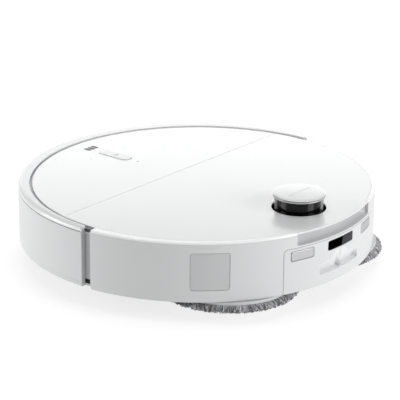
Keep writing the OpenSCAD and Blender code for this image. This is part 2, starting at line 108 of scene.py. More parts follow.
def make_camera():
    """The camera stands where the reference view was taken from."""
    data = bpy.data.cameras.new("camera")
    data.sensor_width = 36.0
    data.lens = 171.0
    camera = bpy.data.objects.new("camera", data)
    bpy.context.scene.collection.objects.link(camera)
    forward = Vector((-0.7298, -0.5903, -0.3449)).normalized()
    level_right = forward.cross(Vector((0, 0, 1))).normalized()
    level_up = level_right.cross(forward)
    roll = 0.0101
    right = (level_right + roll * level_up).normalized()
    up = right.cross(forward)
    turn = Matrix((right, up, -forward)).transposed()
    camera.matrix_world = Matrix.Translation((1.368, 1.111, 0.7027)) @ turn.to_4x4()
    bpy.context.scene.camera = camera


def area_light(name, place, target, size, power):
    """A rectangular light that points at the target."""
    data = bpy.data.lights.new(name, "AREA")
    data.shape = "RECTANGLE"
    data.size, data.size_y = size
    data.energy = power
    light = bpy.data.objects.new(name, data)
    bpy.context.scene.collection.objects.link(light)
    light.location = place
    aim = Vector(target) - Vector(place)
    light.rotation_euler = aim.to_track_quat("-Z", "Y").to_euler()


def make_studio():
    """A pale glowing floor and soft rectangular lights."""
    side = 6.0
    mesh = bpy.data.meshes.new("floor")
    corners = [(-side, -side, 0), (side, -side, 0), (side, side, 0), (-side, side, 0)]
    mesh.from_pydata(corners, [], [(0, 1, 2, 3)])
    floor = bpy.data.objects.new("floor", mesh)
    bpy.context.scene.collection.objects.link(floor)
    material = bpy.data.materials.new("floor")
    material.use_nodes = True
    shader = material.node_tree.nodes["Principled BSDF"]
    shader.inputs["Base Color"].default_value = (FLOOR_GREY, FLOOR_GREY, FLOOR_GREY, 1)
    shader.inputs["Roughness"].default_value = 0.8
    shader.inputs["Emission Color"].default_value = (1, 1, 1, 1)
    shader.inputs["Emission Strength"].default_value = FLOOR_GLOW
    mesh.materials.append(material)
    world = bpy.data.worlds.new("studio")
    world.use_nodes = True
    world.node_tree.nodes["Background"].inputs["Color"].default_value = (1, 1, 1, 1)
    world.node_tree.nodes["Background"].inputs["Strength"].default_value = ROOM_STRENGTH
    bpy.context.scene.world = world
    bpy.context.scene.view_settings.view_transform = "Standard"
    for name, place, size, power in LIGHTS:
        area_light(name, place, (0, 0, 0.05), size, power)


make_camera()
make_studio()


# ------------------------------------------------------------------ materials

def new_material(name, color, roughness, metallic=0.0):
    material = bpy.data.materials.new(name)
    material.use_nodes = True
    shader = material.node_tree.nodes["Principled BSDF"]
    shader.inputs["Base Color"].default_value = (*color, 1)
    shader.inputs["Roughness"].default_value = roughness
    shader.inputs["Metallic"].default_value = metallic
    return material, material.node_tree, shader


def noise(tree, scale, detail=3.0, rough=0.5):
    """A noise texture that stays with the object as it moves."""
    place = tree.nodes.new("ShaderNodeTexCoord")
    texture = tree.nodes.new("ShaderNodeTexNoise")
    texture.inputs["Scale"].default_value = scale
    texture.inputs["Detail"].default_value = detail
    texture.inputs["Roughness"].default_value = rough
    tree.links.new(place.outputs["Object"], texture.inputs["Vector"])
    return texture


def spread(tree, source, low, high):
    """Stretches a noise's middle range over low to high."""
    ramp = tree.nodes.new("ShaderNodeMapRange")
    ramp.inputs["From Min"].default_value = 0.3
    ramp.inputs["From Max"].default_value = 0.7
    ramp.inputs["To Min"].default_value = low
    ramp.inputs["To Max"].default_value = high
    tree.links.new(source, ramp.inputs["Value"])
    return ramp.outputs["Result"]


def blend_colors(tree, factor, first, second):
    mix = tree.nodes.new("ShaderNodeMix")
    mix.data_type = "RGBA"
    mix.inputs["A"].default_value = (*first, 1)
    mix.inputs["B"].default_value = (*second, 1)
    tree.links.new(factor, mix.inputs["Factor"])
    return mix.outputs["Result"]


def add_bump(tree, shader, height, depth, strength=1.0):
    bump = tree.nodes.new("ShaderNodeBump")
    bump.inputs["Strength"].default_value = strength
    bump.inputs["Distance"].default_value = depth
    tree.links.new(height, bump.inputs["Height"])
    tree.links.new(bump.outputs["Normal"], shader.inputs["Normal"])


def shade(color, factor):
    """The colour made lighter or darker by a factor."""
    return tuple(min(1.0, c * factor) for c in color)


def plastic(name, color, roughness, grain=2600.0, depth=0.00001, coat=0.0, drift=0.02,
            specular=0.5, smudge=0.12):
    """Moulded plastic: faint tone drift, uneven gloss and the fine grain of the tool."""
    material, tree, shader = new_material(name, color, roughness)
    tone = noise(tree, 9.0).outputs["Fac"]
    tint = blend_colors(tree, spread(tree, tone, 0, 1), shade(color, 1 - drift), shade(color, 1 + drift))
    tree.links.new(tint, shader.inputs["Base Color"])
    smear = noise(tree, 40.0, 5.0).outputs["Fac"]
    gloss = spread(tree, smear, roughness * (1 - smudge), min(1.0, roughness * (1 + smudge)))
    tree.links.new(gloss, shader.inputs["Roughness"])
    add_bump(tree, shader, noise(tree, grain, 2.0).outputs["Fac"], depth, 0.5)
    shader.inputs["Specular IOR Level"].default_value = specular
    if coat:
        shader.inputs["Coat Weight"].default_value = coat
        shader.inputs["Coat Roughness"].default_value = 0.14
    return material


def metal(name, color, roughness):
    """Brushed metal: fine scratches along the part and slight dulling."""
    material, tree, shader = new_material(name, color, roughness, 1.0)
    place = tree.nodes.new("ShaderNodeTexCoord")
    stretch = tree.nodes.new("ShaderNodeMapping")
    stretch.inputs["Scale"].default_value = (250, 250, 6000)
    texture = tree.nodes.new("ShaderNodeTexNoise")
    texture.inputs["Scale"].default_value = 1.0
    tree.links.new(place.outputs["Object"], stretch.inputs["Vector"])
    tree.links.new(stretch.outputs["Vector"], texture.inputs["Vector"])
    streaks = texture.outputs["Fac"]
    tree.links.new(spread(tree, streaks, roughness * 0.75, roughness * 1.3), shader.inputs["Roughness"])
    tint = blend_colors(tree, spread(tree, streaks, 0, 1), shade(color, 0.9), shade(color, 1.05))
    tree.links.new(tint, shader.inputs["Base Color"])
    add_bump(tree, shader, streaks, 0.00001, 0.3)
    return material


def yarn(name, dark, light):
    """Looped microfibre yarn: each strand has its own grey, with fine twisted fibres."""
    material, tree, shader = new_material(name, light, 0.9)
    strand = tree.nodes.new("ShaderNodeNewGeometry")
    tint = blend_colors(tree, strand.outputs["Random Per Island"], dark, light)
    fibres = noise(tree, 1500.0, 4.0, 0.7).outputs["Fac"]
    fleck = tree.nodes.new("ShaderNodeMix")
    fleck.data_type = "RGBA"
    fleck.blend_type = "MULTIPLY"
    fleck.inputs["Factor"].default_value = 1.0
    tree.links.new(tint, fleck.inputs["A"])
    fleck_tone = blend_colors(tree, spread(tree, fibres, 0, 1), (0.68, 0.68, 0.7), (1, 1, 1))
    tree.links.new(fleck_tone, fleck.inputs["B"])
    tree.links.new(fleck.outputs["Result"], shader.inputs["Base Color"])
    shader.inputs["Sheen Weight"].default_value = 0.3
    add_bump(tree, shader, fibres, 0.0006)
    return material


def rubber(name, color):
    """Dull rubber with a little dust on it."""
    material, tree, shader = new_material(name, color, 0.75)
    dust = noise(tree, 120.0, 6.0).outputs["Fac"]
    tint = blend_colors(tree, spread(tree, dust, 0, 1), shade(color, 0.75), shade(color, 1.5))
    tree.links.new(tint, shader.inputs["Base Color"])
    add_bump(tree, shader, noise(tree, 1800.0, 2.0).outputs["Fac"], 0.00005, 0.5)
    return material


LOOKS = {
    "white_gloss": plastic("white_gloss", (0.695, 0.70, 0.705), 0.3, depth=0.000003, coat=1.0, drift=0.004,
                           smudge=0.03),
    # A lighter, coated copy of the shell white: painted light for the light falling on the bumper's top and
    # on the button.
    "coated_white_painted_light": plastic("coated_white_painted_light", (0.73, 0.735, 0.74), 0.32, coat=0.45, drift=0.004, smudge=0.03),
    # A much brighter copy of the glossy white: a painted highlight on the top rim's shoulder, and painted
    # light that lifts the turret's posts out of the shade under the cap.
    "bright_white_painted_light": plastic("bright_white_painted_light", (0.88, 0.885, 0.89), 0.28, coat=1.0, drift=0.004, smudge=0.03),
    "grip_grey": plastic("grip_grey", (0.64, 0.645, 0.65), 0.35, coat=0.4),
    # A lighter copy of the shell white: painted light that takes the shade out of the water port's recess.
    "port_white_painted_light": plastic("port_white_painted_light", (0.73, 0.735, 0.74), 0.3, drift=0.006, smudge=0.03),
    "white_shell": plastic("white_shell", (0.645, 0.65, 0.655), 0.36, drift=0.006, specular=0.35,
                           smudge=0.05),
    "inner_grey": plastic("inner_grey", (0.56, 0.57, 0.58), 0.45),
    "dark_shell": plastic("dark_shell", (0.045, 0.046, 0.048), 0.5, 1400.0, 0.00003),
    "inner_black": plastic("inner_black", (0.02, 0.02, 0.021), 0.5, 1400.0, 0.00003),
    "black_gloss": plastic("black_gloss", (0.004, 0.004, 0.0045), 0.1, depth=0.000002, specular=0.3),
    "window_black": plastic("window_black", (0.0008, 0.0008, 0.001), 0.06, depth=0.000001, specular=0.0),
    "window_pane": plastic("window_pane", (0.022, 0.022, 0.024), 0.12, depth=0.000001, specular=0.15),
    "flap_grey": plastic("flap_grey", (0.535, 0.54, 0.545), 0.4),
    "contact_metal": metal("contact_metal", (0.52, 0.52, 0.53), 0.38),
    "steel": metal("steel", (0.6, 0.6, 0.62), 0.3),
    "lens": plastic("lens", (0.24, 0.26, 0.28), 0.2),
    "battery_wrap": plastic("battery_wrap", (0.02, 0.04, 0.09), 0.35),
    "circuit_board": plastic("circuit_board", (0.01, 0.09, 0.04), 0.35, 700.0, 0.0001),
    "tank_plastic": plastic("tank_plastic", (0.35, 0.42, 0.48), 0.15),
    "bin_plastic": plastic("bin_plastic", (0.10, 0.105, 0.11), 0.18, coat=0.3),
    "hub_grey": plastic("hub_grey", (0.13, 0.132, 0.135), 0.42),
    "tyre": rubber("tyre", (0.012, 0.012, 0.013)),
    "roller": plastic("roller", (0.5, 0.5, 0.51), 0.4),
    "brush_rubber": rubber("brush_rubber", (0.03, 0.032, 0.035)),
    "mop_cloth": yarn("mop_cloth", (0.05, 0.05, 0.056), (0.86, 0.86, 0.89)),
}


def paint_frame():
    """Gives each CAD node the finish that its record row names."""
    for row in frame["record"]["subparts"]:
        node = frame["nodes"][row["node"]]
        for index in range(len(node.material_slots)):
            node.material_slots[index].material = LOOKS[row["material_slot"]]


paint_frame()


# ------------------------------------------------------------------ mesh building

def arc(centre_x, centre_y, radius, start, stop, steps):
    """Points along a circle's arc, ends included, angles in degrees."""
    angles = [start + (stop - start) * i / steps for i in range(steps + 1)]
    return [(centre_x + radius * cos(a), centre_y + radius * sin(a)) for a in angles]


def rounded(corners, steps=5):
    """A closed outline from (x, y, radius) corners, with each corner rounded to its radius."""
    outline = []
    count = len(corners)
    for i, (x, y, radius) in enumerate(corners):
        corner = Vector((x, y))
        if radius <= 0:
            outline.append((x, y))
            continue
        before = (Vector(corners[i - 1][:2]) - corner).normalized()
        after = (Vector(corners[(i + 1) % count][:2]) - corner).normalized()
        half = before.angle(after) / 2
        centre = corner + (before + after).normalized() * radius / math.sin(half)
        reach = radius / math.tan(half)
        first = corner + before * reach - centre
        last = corner + after * reach - centre
        sweep = first.angle(last)
        for k in range(steps + 1):
            t = k / steps
            spoke = (first * math.sin((1 - t) * sweep) + last * math.sin(t * sweep)) / math.sin(sweep)
            outline.append(tuple(centre + spoke))
    return outline


def to_object(name, bm, slot, sharp=40.0):
    """Makes the mesh an object with its finish, sharp edges kept and flat faces shaded flat."""
    bmesh.ops.remove_doubles(bm, verts=bm.verts, dist=0.002 * MM)
    bmesh.ops.recalc_face_normals(bm, faces=bm.faces)
    for edge in bm.edges:
        edge.smooth = len(edge.link_faces) == 2 and edge.calc_face_angle(math.pi) < math.radians(sharp)
    for face in bm.faces:
        face.smooth = True
    mesh = bpy.data.meshes.new(name)
    bm.to_mesh(mesh)
    bm.free()
    obj = bpy.data.objects.new(name, mesh)
    bpy.context.scene.collection.objects.link(obj)
    mesh.materials.append(LOOKS[slot])
    smoother = obj.modifiers.new("even_shading", "WEIGHTED_NORMAL")
    smoother.keep_sharp = True
    smoother.weight = 80
    return obj


def plate_mesh(name, loops, low, high, bevel):
    """A flat plate in x and y from z = low to high, with rounded edges. The first loop is the
    outline, and the others are holes."""
    curve = bpy.data.curves.new(name, "CURVE")
    curve.dimensions = "2D"
    curve.fill_mode = "BOTH"
    curve.extrude = ((high - low) / 2 - bevel) * MM
    curve.bevel_depth = bevel * MM
    curve.bevel_resolution = 2
    curve.offset = -bevel * MM
    for loop in loops:
        spline = curve.splines.new("POLY")
        spline.points.add(len(loop) - 1)
        for point, (x, y) in zip(spline.points, loop):
            point.co = (x * MM, y * MM, 0, 1)
        spline.use_cyclic_u = True
    holder = bpy.data.objects.new(name, curve)
    mesh = bpy.data.meshes.new_from_object(holder)
    bm = bmesh.new()
    bm.from_mesh(mesh)
    bmesh.ops.remove_doubles(bm, verts=bm.verts, dist=0.002 * MM)
    bmesh.ops.translate(bm, verts=bm.verts, vec=(0, 0, (low + high) / 2 * MM))
    bpy.data.objects.remove(holder)
    bpy.data.curves.remove(curve)
    bpy.data.meshes.remove(mesh)
    return bm


def flat_plate(name, loops, low, high, bevel, slot):
    """A level plate with rounded edges."""
    return to_object(name, plate_mesh(name, loops, low, high, bevel), slot)


def cut_across(bm, step):
    """Splits the faces along x so that they can follow a curve."""
    values = [v.co.x for v in bm.verts]
    normal = Vector((1, 0, 0))
    place = math.ceil(min(values) / step) * step
    while place < max(values):
        everything = bm.verts[:] + bm.edges[:] + bm.faces[:]
        bmesh.ops.bisect_plane(bm, geom=everything, plane_co=normal * place, plane_no=normal, dist=1e-7)
        place += step


def wall_plate(name, loops, inner, outer, bevel, slot):
    """A plate wrapped on the body's wall: loops are in millimetres along the wall at radius
    outer, measured from the +X direction, and in height."""
    bm = plate_mesh(name, loops, 0, outer - inner, bevel)
    cut_across(bm, 4.0 * MM)
    for vert in bm.verts:
        angle = vert.co.x / (outer * MM)
        radius = inner * MM + vert.co.z
        vert.co = (radius * math.cos(angle), radius * math.sin(angle), vert.co.y)
    return to_object(name, bm, slot)


def lathe(name, profile, slot, centre=(0.0, 0.0), start=0.0, stop=360.0, step=3.0):
    """Turns a closed (radius, z) profile about a vertical axis. profile may be a function of
    the angle in degrees."""
    at = profile if callable(profile) else lambda angle: profile
    full = stop - start >= 360
    count = max(3, round((stop - start) / step))
    bm = bmesh.new()
    rings = []
    for i in range(count if full else count + 1):
        angle = start + (stop - start) * i / count
        ring = [bm.verts.new(((centre[0] + r * cos(angle)) * MM, (centre[1] + r * sin(angle)) * MM, z * MM))
                for r, z in at(angle)]
        rings.append(ring)
    size = len(rings[0])
    for i in range(len(rings) if full else len(rings) - 1):
        here, there = rings[i], rings[(i + 1) % len(rings)]
        for k in range(size):
            corners = (here[k], there[k], there[(k + 1) % size], here[(k + 1) % size])
            bm.faces.new(corners)
    if not full:
        bm.faces.new(rings[0])
        bm.faces.new(rings[-1])
    bmesh.ops.remove_doubles(bm, verts=bm.verts, dist=0.002 * MM)
    return to_object(name, bm, slot)


def stand_for(obj, body, slot, *nodes):
    """Rides the piece on its body and puts it in place of CAD nodes; the slot argument is not used."""
    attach(obj, body)
    if nodes:
        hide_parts(*nodes)
    return obj


# ------------------------------------------------------------------ top cover and rim

def cover_angle(y):
    """Angle, about the cover's own centre, at which its edge crosses that y."""
    return math.degrees(math.asin((y - COVER_Y) / COVER_R))


def pill(grow):
    """The button's outline, made larger by grow: round at the rear, squarer at the front."""
    half = 6.75 + grow
    front, rear = -124 - grow, -87 + grow
    back = arc(0, rear - half, half, 0, 180, 10)
    nose = rounded([(-half, rear - half, 0), (-half, front, 3.4), (half, front, 3.4), (half, rear - half, 0)])
    return back + nose[1:-1]


def disc(x, y, radius, steps):
    """A closed circle outline."""
    return arc(x, y, radius, 0, 360, steps)[:-1]


def make_front_cover():
    """The fixed front cover, with the button's opening and the three small light holes."""
    low = cover_angle(SEAM_Y - 0.08)
    outline = arc(0, COVER_Y, COVER_R, 180 - low, 360 + low, 90)
    holes = [pill(0.35)] + [disc(*hole) for hole in LIGHT_HOLES]
    cover = flat_plate("front_cover_shell", [outline] + holes, 76, TOP_Z, 0.3, "white_gloss")
    stand_for(cover, "chassis", "white_gloss", "front_cover")


def make_lid():
    """The lift-off lid, with its tab over the finger recess and the turret's hole."""
    low = cover_angle(SEAM_Y + 0.08)
    tab = GRIP_HALF - 0.4
    notch = math.degrees(math.acos(tab / COVER_R))
    tab_r = BODY_R - 0.3
    corner = math.degrees(math.acos(tab / tab_r))
    outline = arc(0, COVER_Y, COVER_R, low, notch, 40)
    outline += arc(0, 0, tab_r, corner, 180 - corner, 30)
    outline += arc(0, COVER_Y, COVER_R, 180 - notch, 180 - low, 40)
    hole = disc(*TURRET, WELL_R, 72)
    lid = flat_plate("lid_shell", [outline, hole], 76.6, TOP_Z, 0.3, "white_gloss")
    stand_for(lid, "lid", "white_gloss", "lid")


def cover_edge(angle, gap):
    """Distance from the body's axis to a circle round the cover, at that angle."""
    reach = COVER_R + gap
    return COVER_Y * sin(angle) + math.sqrt(reach ** 2 - (COVER_Y * cos(angle)) ** 2)


def make_top_rim():
    """The shoulder between the lid and the side wall, on each side of the lid's tab."""
    def profile(angle):
        inner = cover_edge(angle, 0.12)
        top = TOP_Z - 0.02
        outer = BODY_R - 0.02
        shoulder = arc(outer - 1.4, top - 1.4, 1.4, 0, 90, 6)
        return [(inner, 76.1), (outer - 1, 76.1), (outer - 1, 76.2), (outer, 76.3)] + shoulder + [
            (inner + 0.2, top), (inner, top - 0.2)]

    end = math.degrees(math.acos(GRIP_HALF / BODY_R))
    pieces = ((WALL_START, end, "left"), (180 - end, 180 - WALL_START, "right"))
    for start, stop, side in pieces:
        # The rim takes the brighter white: a painted highlight along its shoulder.
        rim = lathe("top_rim_" + side, profile, "bright_white_painted_light", start=start, stop=stop, step=1.5)
        stand_for(rim, "chassis", "white_gloss", *(["top_rim"] if side == "left" else []))


make_front_cover()
make_lid()
make_top_rim()


# ------------------------------------------------------------------ bumper

def arc_mm(angle):
    """Length along the wall for an angle in degrees."""
    return math.radians(angle) * BODY_R


def make_bumper():
    """The bumper in three pieces: rounded top, face with the sensor opening, and lower lip."""
    start, stop = 180 - BUMPER_START, 360 + BUMPER_START
    groove = BUMPER_TOP - 5.0
    seam = FLOOR_Z + 4.5
    crown_r = 4.6

    def top_profile(angle):
        reach = COVER_R + 3.2
        lift = COVER_Y + 0.8
        inner = lift * sin(angle) + math.sqrt(reach ** 2 - (lift * cos(angle)) ** 2)
        top = BUMPER_TOP
        crown = arc(BODY_R - crown_r - 0.02, top - crown_r, crown_r, 0, 90, 10)
        return [(inner, top - 2.4), (BODY_R - crown_r, top - 2.4), (BODY_R - 3, groove + 0.5),
                (BODY_R - 0.5, groove + 0.25)] + crown + [(inner + 0.4, top), (inner, top - 0.4)]

    # The top takes the lighter coated white, not the face's shell white: painted light for the light falling
    # on it from above.
    top = lathe("bumper_top", top_profile, "coated_white_painted_light", start=start, stop=stop, step=1.5)
    stand_for(top, "bumper", "white_gloss", "bumper_shell")
    a, b = arc_mm(start), arc_mm(stop)
    low, high = seam + 0.3, groove - 0.45
    outline = rounded([(a, low, 0.4), (b, low, 0.4), (b, high, 0.4), (a, high, 0.4)])
    middle = arc_mm(270)
    half, sill, head = 24, 42, 58
    window = rounded([(middle - half, sill, 5), (middle - half, head, 5), (middle + half, head, 5),
                      (middle + half, sill, 5)])
    face = wall_plate("bumper_face", [outline, window], BODY_R - WALL, BODY_R, 0.3, "white_shell")
    stand_for(face, "bumper", "white_shell")
    lip_r = BODY_R - 0.5
    lip_profile = rounded([(170.3, FLOOR_Z, 0.3), (lip_r, FLOOR_Z, 0.8), (lip_r, seam, 0.3),
                           (170.3, seam, 0.3)])
    lip = lathe("bumper_lip", lip_profile, "white_shell", start=start, stop=stop, step=1.5)
    stand_for(lip, "bumper", "white_shell")


def make_bumper_seam_shade():
    """Darker strips behind the bumper's two seams: painted shade for the shade inside the seams."""
    inner, outer = 171.0, 173.4
    for name, low, high in (("groove", 73.0, 75.2), ("seam", 23.6, 25.4)):
        profile = [(inner, low), (outer, low), (outer, high), (inner, high)]
        strip = lathe("bumper_" + name, profile, "hub_grey",
                      start=180 - BUMPER_START, stop=360 + BUMPER_START, step=2)
        stand_for(strip, "bumper", "hub_grey")


make_bumper()
make_bumper_seam_shade()


# ------------------------------------------------------------------ side wall

def flap_loop(angle, grow):
    """Outline of a flap on the wall, made larger by grow."""
    middle = arc_mm(angle)
    low, high = 31.7 - grow, 67.4 + grow
    half = 18 + grow
    radius = 2 + grow
    return rounded([(middle - half, low, radius), (middle + half, low, radius),
                    (middle + half, high, radius), (middle - half, high, radius)])


def make_side_wall():
    """The rear half's wall, cut out for the rear panel, the finger recess and the two flaps."""
    top = WALL_TOP
    side = math.degrees(math.acos(PANEL_HALF / BODY_R))
    grip = math.degrees(math.acos(GRIP_HALF / BODY_R))
    gap = 0.4
    p, g = arc_mm(side) - gap, arc_mm(grip)
    full = arc_mm(180)
    a, b = arc_mm(WALL_START), arc_mm(180 - WALL_START)
    outline = rounded([
        (a, FLOOR_Z, 0.6), (p, FLOOR_Z, 0.3), (p, PANEL_TOP + gap, 3.5 + gap),
        (full - p, PANEL_TOP + gap, 3.5 + gap), (full - p, FLOOR_Z, 0.3), (b, FLOOR_Z, 0.6), (b, top, 0.6),
        (full - g, top, 0.4), (full - g, GRIP_FLOOR, 2.0), (g, GRIP_FLOOR, 2.0), (g, top, 0.4),
        (a, top, 0.6)])
    flaps = [flap_loop(angle, 0.35) for side, angle in FLAP_SIDES]
    wall = wall_plate("side_wall", [outline] + flaps, BODY_R - WALL, BODY_R, 0.2, "white_shell")
    stand_for(wall, "chassis", "white_shell", "side_shell")


def make_flaps():
    """The two hinged flaps in the side wall."""
    for side, angle in FLAP_SIDES:
        flap = wall_plate("flap_" + side, [flap_loop(angle, -0.1)], 173.6, BODY_R - 0.3, 0.3, "flap_grey")
        stand_for(flap, "flap_" + side, "flap_grey")


def make_hinge_slot_shade():
    """A grey strip flush with the wall over each flap: painted shade standing in for the shallow slot where
    its hinge is reached.
    """
    for side, angle in FLAP_SIDES:
        middle = arc_mm(angle) - 1
        loop = rounded([(middle - 12, 73.2, 0.15), (middle + 12, 73.2, 0.15), (middle + 12, 73.55, 0.15),
                        (middle - 12, 73.55, 0.15)], 1)
        line = wall_plate("hinge_slot_shade_" + side, [loop], BODY_R - 0.3, BODY_R, 0.02, "inner_grey")
        stand_for(line, "chassis", "inner_grey")


make_side_wall()
make_flaps()
make_hinge_slot_shade()


# ------------------------------------------------------------------ rear panel

def back_mm(offset):
    """Place along the wall for a sideways distance from the middle of the back, seen from behind."""
    return BACK + offset


def contact_loop(side, grow):
    """Outline of a charging contact, made larger by grow. side is -1 or 1."""
    middle = back_mm(side * arc_mm(16.8))
    wide, radius = 12.95 + grow, 1.6 + grow
    low, high = CONTACT_Z - 4.5 - grow, CONTACT_Z + 4.5 + grow
    return rounded([(middle - wide, low, radius), (middle + wide, low, radius),
                    (middle + wide, high, radius), (middle - wide, high, radius)])


def window_loop(grow, start=-19.6, stop=19.6, slant=0.0):
    """Outline of the rear window from start to stop, made larger by grow, its first edge leaning
    by slant."""
    low, high, radius = 51.7 - grow, 61 + grow, 1.8 + grow
    a, b = back_mm(start - grow), back_mm(stop + grow)
    first = 0.05 if slant else radius
    return rounded([(a - slant, low, first), (b, low, radius), (b, high, radius), (a + slant, high, first)])


def port_top(offset):
    """Height of the water port's upper edge at a sideways distance from its middle."""
    corners = ((0, 49), (6.5, 49), (9, 47.6), (12.5, 44.2), (29, 40.5), (30, 39.5))
    reach = abs(offset)
    for (x0, z0), (x1, z1) in zip(corners, corners[1:]):
        if reach <= x1:
            return z0 + (z1 - z0) * (reach - x0) / (x1 - x0)
    return corners[-1][1]


def port_loop():
    """The water port's outline, with small cut corners at its lower edge."""
    ends = [-PORT_HALF + i * 1.5 for i in range(41)]
    top = [(back_mm(x), port_top(x)) for x in reversed(ends)]
    foot = ((-PORT_HALF, PORT_FOOT + 1), (1 - PORT_HALF, PORT_FOOT), (PORT_HALF - 1, PORT_FOOT),
            (PORT_HALF, PORT_FOOT + 1))
    return [(back_mm(x), z) for x, z in foot] + top


def make_rear_panel():
    """The rear panel with its charging contacts and sensor window."""
    left = arc_mm(math.degrees(math.acos(PANEL_HALF / BODY_R)))
    right = 2 * BACK - left
    outline = rounded([(left, FLOOR_Z, 0.6), (right, FLOOR_Z, 0.6), (right, PANEL_TOP, 3.5),
                       (left, PANEL_TOP, 3.5)])
    holes = [window_loop(0.2), contact_loop(-1, 0.5), contact_loop(1, 0.5), port_loop()]
    panel = wall_plate("rear_panel_face", [outline] + holes, BODY_R - WALL, BODY_R, 0.3, "white_shell")
    stand_for(panel, "chassis", "white_shell", "rear_panel")
    for side, name in ((-1, "left"), (1, "right")):
        plate = wall_plate("contact_" + name, [contact_loop(side, 0)], 172.2, 174.8, 0.35, "contact_metal")
        stand_for(plate, "chassis", "contact_metal", *(["charge_contacts"] if side < 0 else []))
    glass = wall_plate("rear_window_glass", [window_loop(0)], 172.4, 174.5, 0.25, "window_black")
    stand_for(glass, "chassis", "black_gloss", "rear_window")
    pane_loop = window_loop(-0.3, 1.0, 19.6, 0.7)
    pane = wall_plate("rear_window_pane", [pane_loop], 174.3, 174.6, 0.05, "window_pane")
    stand_for(pane, "chassis", "black_gloss")


def port_depth(offset, height):
    """How deep the port's scoop goes behind the wall's surface."""
    top = port_top(offset)
    edge = min(height - PORT_FOOT, top - height, PORT_HALF - abs(offset))
    if edge <= 0:
        return 0.1
    slope = 5.5 * min(1.0, (top - height) / (top - 32.5)) * min(1.0, (height - PORT_FOOT) / 0.9)
    half = 1.2 + 0.36 * max(0.0, height - 33)
    spout = max(0.0, 1 - abs(offset) / half) ** 0.6 * min(1.0, max(0.0, (48.5 - height) / 3))
    groove = 1.7 * max(0.0, 1 - abs(offset + 0.8) / 1.7) * min(1.0, max(0.0, (height - 40) / 2))
    return 0.1 + slope * (1 - 0.95 * spout) * min(1.0, PORT_HALF - abs(offset)) + groove * (edge > 0.5)


def make_water_port():
    """The scoop of the water port, as a grid pressed into the wall."""
    columns, rows, lap = 80, 30, 0.3
    bm = bmesh.new()
    grid = []
    for i in range(columns + 1):
        offset = (PORT_HALF + lap) * (2 * i / columns - 1)
        low, high = PORT_FOOT - lap, port_top(offset) + lap
        line = []
        for k in range(rows + 1):
            height = low + (high - low) * k / rows
            radius = (BODY_R - port_depth(offset, height)) * MM
            angle = back_mm(offset) / BODY_R
            line.append(bm.verts.new((radius * math.cos(angle), radius * math.sin(angle), height * MM)))
        grid.append(line)
    for i in range(columns):
        for k in range(rows):
            bm.faces.new((grid[i][k], grid[i + 1][k], grid[i + 1][k + 1], grid[i][k + 1]))
    # The scoop takes a lighter white than the wall: painted light that takes the shade out of the recess.
    port = to_object("water_port_scoop", bm, "port_white_painted_light", 60)
    thick = port.modifiers.new("thickness", "SOLIDIFY")
    thick.thickness = 1.2 * MM
    thick.offset = -1
    stand_for(port, "chassis", "white_shell", "water_port")


def make_grip():
    """The finger recess under the lid: a cove with rounded ends."""
    middle, half = 90.0, 90.0 - math.degrees(math.acos(GRIP_HALF / BODY_R))
    end_sweep = 5.5
    mouth, back = 172.6, 158.2
    roof, top, fall, under = 76.3, 76.1, 10.6, 64.4

    def profile(angle):
        inside = (half - abs(angle - middle)) / end_sweep
        share = 1.0 if inside >= 1 else math.sqrt(max(0.0, 1 - (1 - inside) ** 2))
        reach = 0.6 + 12.4 * share
        cove = [(mouth - reach + reach * (1 - cos(a)), top - fall * sin(a)) for a in range(0, 91, 9)]
        return [(back, roof), (mouth - reach, roof)] + cove + [(mouth, under), (back, under)]

    grip = lathe("grip_cove", profile, "grip_grey", start=middle - half, stop=middle + half, step=0.75)
    stand_for(grip, "chassis", "inner_grey", "lid_grip")


def make_painted_gap_shade():
    """A dark floor in the gap between the front cover and the bumper: painted shade for the shadow in the
    step down to the cover.
    """
    def profile(angle):
        edge = cover_edge(angle, 0)
        return [(edge - 1.5, 75.2), (edge + 4.6, 75.2), (edge + 4.6, 75.9), (edge - 1.5, 75.9)]

    gap = lathe("painted_gap_shade", profile, "dark_shell", start=174.6, stop=365.4, step=2)
    stand_for(gap, "chassis", "dark_shell")


make_rear_panel()
make_water_port()
make_grip()
make_painted_gap_shade()


# ------------------------------------------------------------------ bumper ends and the gap

def ring_part(name, body, slot, inner, outer, low, high, start, stop, replaced=()):
    """A curved bar on the body's wall, with rounded edges."""
    edge = 0.3
    loop = rounded([(inner, low, edge), (outer, low, edge), (outer, high, edge), (inner, high, edge)], 2)
    piece = lathe(name, loop, slot, start=start, stop=stop, step=1.5)
    return stand_for(piece, body, slot, *replaced)


def make_bumper_ends():
    """The bumper's end strips, and what shows in the gap between them and the side wall."""
    for side, mirror in (("left", 1), ("right", -1)):
        def span(a, b):
            return (a, b) if mirror > 0 else (180 - b, 180 - a)
        first, last = span(BUMPER_START - 0.5, BUMPER_START + 0.05)
        ring_part("bumper_end_" + side, "bumper", "flap_grey", 170.2, 174.7, 20.6, 77.4, first, last)
        first, last = span(1.6, WALL_START + 0.05)
        ring_part("gap_back_" + side, "chassis", "inner_grey", 168.0, 169.4, 26.4, 71.5, first, last,
                  replaced=["bumper_channels"] if mirror > 0 else [])
        ring_part("gap_head_" + side, "chassis", "white_shell", 168.0, 170.0, 71.5, 73.4, first, last)
        ring_part("gap_notch_" + side, "chassis", "inner_black", 167.4, 168.4, 21.8, 26.4, first, last)
        ring_part("gap_foot_" + side, "chassis", "white_shell", 167.5, 169.9, FLOOR_Z, 22.2, first, last)
        first, last = span(WALL_START - 0.4, WALL_START + 0.1)
        ring_part("gap_cheek_" + side, "chassis", "inner_grey", 167.8, 174.4, 22.0, 76.4, first, last)


make_bumper_ends()


# ------------------------------------------------------------------ turret

def dial(name, body, slot, profile, replaced=()):
    """A piece turned about the turret's axis."""
    piece = lathe(name, profile, slot, centre=TURRET)
    return stand_for(piece, body, slot, *replaced)


